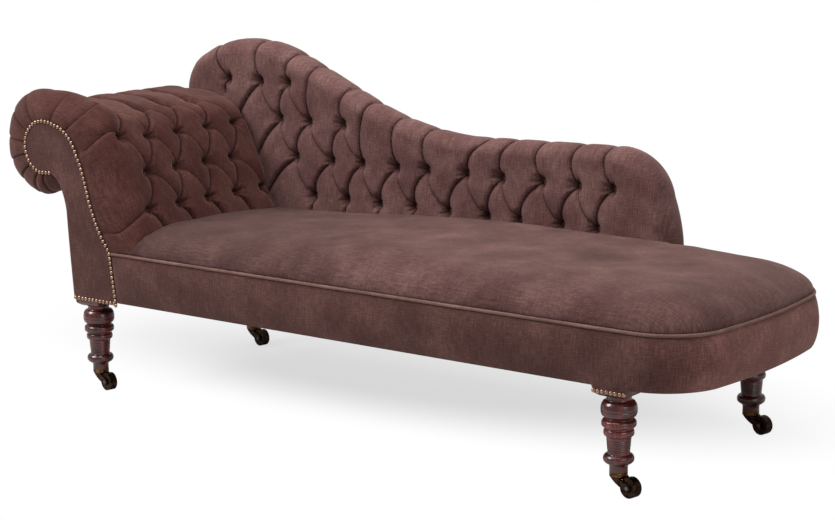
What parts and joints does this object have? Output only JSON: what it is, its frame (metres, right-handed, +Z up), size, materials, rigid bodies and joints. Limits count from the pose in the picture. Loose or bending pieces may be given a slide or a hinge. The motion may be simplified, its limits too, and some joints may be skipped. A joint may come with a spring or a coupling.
{
  "type": "fainting couch",
  "caption": "Fainting couch with a scroll head, low sloping deep-buttoned back, sprung seat with rounded foot, and turned legs on castors.",
  "frame": {"origin": "on the floor, midway along the couch's length and midway through its depth", "axes": "+X from the scrolled head to the rounded foot, +Y from the open front to the back, +Z up"},
  "size_m": [1.88, 0.63, 0.7719],
  "materials": {
    "velvet": "brown-mauve velvet pile",
    "polished_mahogany": "dark red-brown french polish",
    "frame_wood": "unfinished beech",
    "dark_bronze": "dark, worn",
    "aged_brass": "aged",
    "steel": "plain",
    "jute": "coarse weave",
    "black_cloth": "plain weave"
  },
  "bodies": {
    "couch": {"leg_head_front": "polished_mahogany", "leg_head_rear": "polished_mahogany", "leg_foot_front": "polished_mahogany", "leg_foot_rear": "polished_mahogany", "castor_plates": "aged_brass", "front_seat_rail": "frame_wood", "rear_seat_rail": "frame_wood", "head_seat_rail": "frame_wood", "foot_cross_rail": "frame_wood", "seat_stretcher": "frame_wood", "foot_end_rail": "frame_wood", "foot_corner_block_front": "frame_wood", "foot_corner_block_rear": "frame_wood", "scroll_board_front": "frame_wood", "scroll_board_rear": "frame_wood", "volute_rail": "frame_wood", "ridge_rail": "frame_wood", "head_tack_rail_inner": "frame_wood", "head_tack_rail_outer": "frame_wood", "back_top_rail": "frame_wood", "back_post_head": "frame_wood", "back_post_middle": "frame_wood", "back_post_foot": "frame_wood", "back_lower_rail_head": "frame_wood", "back_lower_rail_foot": "frame_wood", "seat_springs": "steel", "seat_webbing": "jute", "seat_hessian": "jute", "back_hessian": "jute", "bottom_cover": "black_cloth", "front_border": "velvet", "rear_border": "velvet", "foot_border": "velvet", "seat_piping": "velvet", "seat_pad": "velvet", "scroll_facing": "velvet", "scroll_rear_facing": "velvet", "head_pad": "velvet", "head_buttons": "velvet", "head_outside_cover": "velvet", "back_pad": "velvet", "back_buttons": "velvet", "back_outside_cover": "velvet"},
    "horn_head_front": {"castor_horn_head_front": "dark_bronze", "castor_axle_head_front": "steel"},
    "wheel_head_front": {"castor_wheel_head_front": "dark_bronze"},
    "horn_head_rear": {"castor_horn_head_rear": "dark_bronze", "castor_axle_head_rear": "steel"},
    "wheel_head_rear": {"castor_wheel_head_rear": "dark_bronze"},
    "horn_foot_front": {"castor_horn_foot_front": "dark_bronze", "castor_axle_foot_front": "steel"},
    "wheel_foot_front": {"castor_wheel_foot_front": "dark_bronze"},
    "horn_foot_rear": {"castor_horn_foot_rear": "dark_bronze", "castor_axle_foot_rear": "steel"},
    "wheel_foot_rear": {"castor_wheel_foot_rear": "dark_bronze"}
  },
  "joints": [
    {"name": "swivel_head_front", "type": "hinge", "parent": "couch", "child": "horn_head_front", "pos_m": [-0.665, -0.266, 0.0354], "axis": [0, 0, 1], "continuous": true},
    {"name": "roll_head_front", "type": "hinge", "parent": "horn_head_front", "child": "wheel_head_front", "pos_m": [-0.634, -0.272, 0.02], "axis": [0.19, 0.9818, 0], "continuous": true},
    {"name": "swivel_head_rear", "type": "hinge", "parent": "couch", "child": "horn_head_rear", "pos_m": [-0.665, 0.266, 0.0354], "axis": [0, 0, 1], "continuous": true},
    {"name": "roll_head_rear", "type": "hinge", "parent": "horn_head_rear", "child": "wheel_head_rear", "pos_m": [-0.634, 0.26, 0.02], "axis": [0.19, 0.9818, 0], "continuous": true},
    {"name": "swivel_foot_front", "type": "hinge", "parent": "couch", "child": "horn_foot_front", "pos_m": [0.735, -0.266, 0.0354], "axis": [0, 0, 1], "continuous": true},
    {"name": "roll_foot_front", "type": "hinge", "parent": "horn_foot_front", "child": "wheel_foot_front", "pos_m": [0.766, -0.272, 0.02], "axis": [0.19, 0.9818, 0], "continuous": true},
    {"name": "swivel_foot_rear", "type": "hinge", "parent": "couch", "child": "horn_foot_rear", "pos_m": [0.735, 0.266, 0.0354], "axis": [0, 0, 1], "continuous": true},
    {"name": "roll_foot_rear", "type": "hinge", "parent": "horn_foot_rear", "child": "wheel_foot_rear", "pos_m": [0.766, 0.26, 0.02], "axis": [0.19, 0.9818, 0], "continuous": true}
  ]
}
